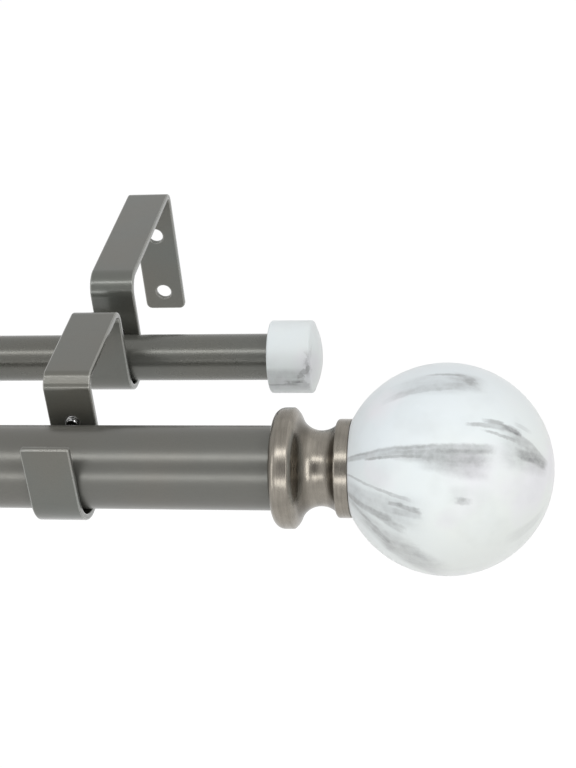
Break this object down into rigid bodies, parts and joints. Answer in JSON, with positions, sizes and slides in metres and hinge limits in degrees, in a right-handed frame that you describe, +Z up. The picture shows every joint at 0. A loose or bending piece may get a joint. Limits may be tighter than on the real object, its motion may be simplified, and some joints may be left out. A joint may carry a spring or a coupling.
{
  "type": "double curtain pole",
  "caption": "Double curtain pole: a thick front pole with ball finials and a thin rear pole with caps, on folded strip brackets screwed to the wall.",
  "frame": {"origin": "on the wall face, in the middle of the four wall screw holes", "axes": "+X along the poles towards the pictured end, +Y into the wall, +Z up"},
  "size_m": [0.8744, 0.1715, 0.0625],
  "materials": {
    "pole_paint": "satin grey-brown metallic lacquer",
    "bracket_paint": "satin grey-brown metallic lacquer",
    "screw_plate": "bright zinc plate",
    "collar_metal": "warm brushed nickel, turned",
    "marble_resin": "satin white marble look with soft grey veins",
    "stud_steel": "plain steel",
    "plug_plastic": "moulded black"
  },
  "bodies": {
    "root": {"front_pole": "pole_paint", "rear_pole": "pole_paint", "bracket_left": "bracket_paint", "front_lock_screw_left": "screw_plate", "rear_lock_screw_left": "screw_plate", "finial_collar_left": "collar_metal", "finial_ball_left": "marble_resin", "finial_stud_left": "stud_steel", "finial_plug_left": "plug_plastic", "rear_cap_left": "marble_resin", "bracket_right": "bracket_paint", "front_lock_screw_right": "screw_plate", "rear_lock_screw_right": "screw_plate", "finial_collar_right": "collar_metal", "finial_ball_right": "marble_resin", "finial_stud_right": "stud_steel", "finial_plug_right": "plug_plastic", "rear_cap_right": "marble_resin"}
  },
  "joints": []
}
